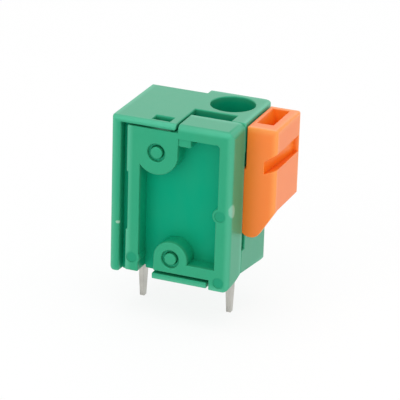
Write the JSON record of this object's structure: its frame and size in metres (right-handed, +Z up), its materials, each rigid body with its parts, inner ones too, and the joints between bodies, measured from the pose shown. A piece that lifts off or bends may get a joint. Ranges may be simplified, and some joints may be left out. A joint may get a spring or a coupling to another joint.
{
  "type": "spring terminal block",
  "caption": "Upright board-mount spring terminal block with a round wire entry in its top, a tilting release lever on its front and solder pins below.",
  "frame": {"origin": "midway between the two solder pins, on the board's face", "axes": "+X towards the lever, +Y away from the side cover, +Z up from the board"},
  "size_m": [0.0126, 0.0087, 0.0167],
  "materials": {
    "housing_plastic": "moulded satin green",
    "cover_plastic": "moulded satin green",
    "lever_plastic": "moulded satin orange",
    "tinned_contact": "tin plated, satin",
    "spring_steel": "rolled strip"
  },
  "bodies": {
    "block": {"housing": "housing_plastic", "side_cover": "cover_plastic", "contact": "tinned_contact", "clamp_spring": "spring_steel"},
    "lever": {"lever": "lever_plastic"}
  },
  "joints": [
    {"name": "lever_pivot", "type": "hinge", "parent": "block", "child": "lever", "pos_m": [0.00022, 0, 0.00199], "axis": [0, 1, 0], "range_deg": [0, 18], "stiffness_Nm_per_rad": 0.01, "deforming": ["clamp_spring"]}
  ]
}
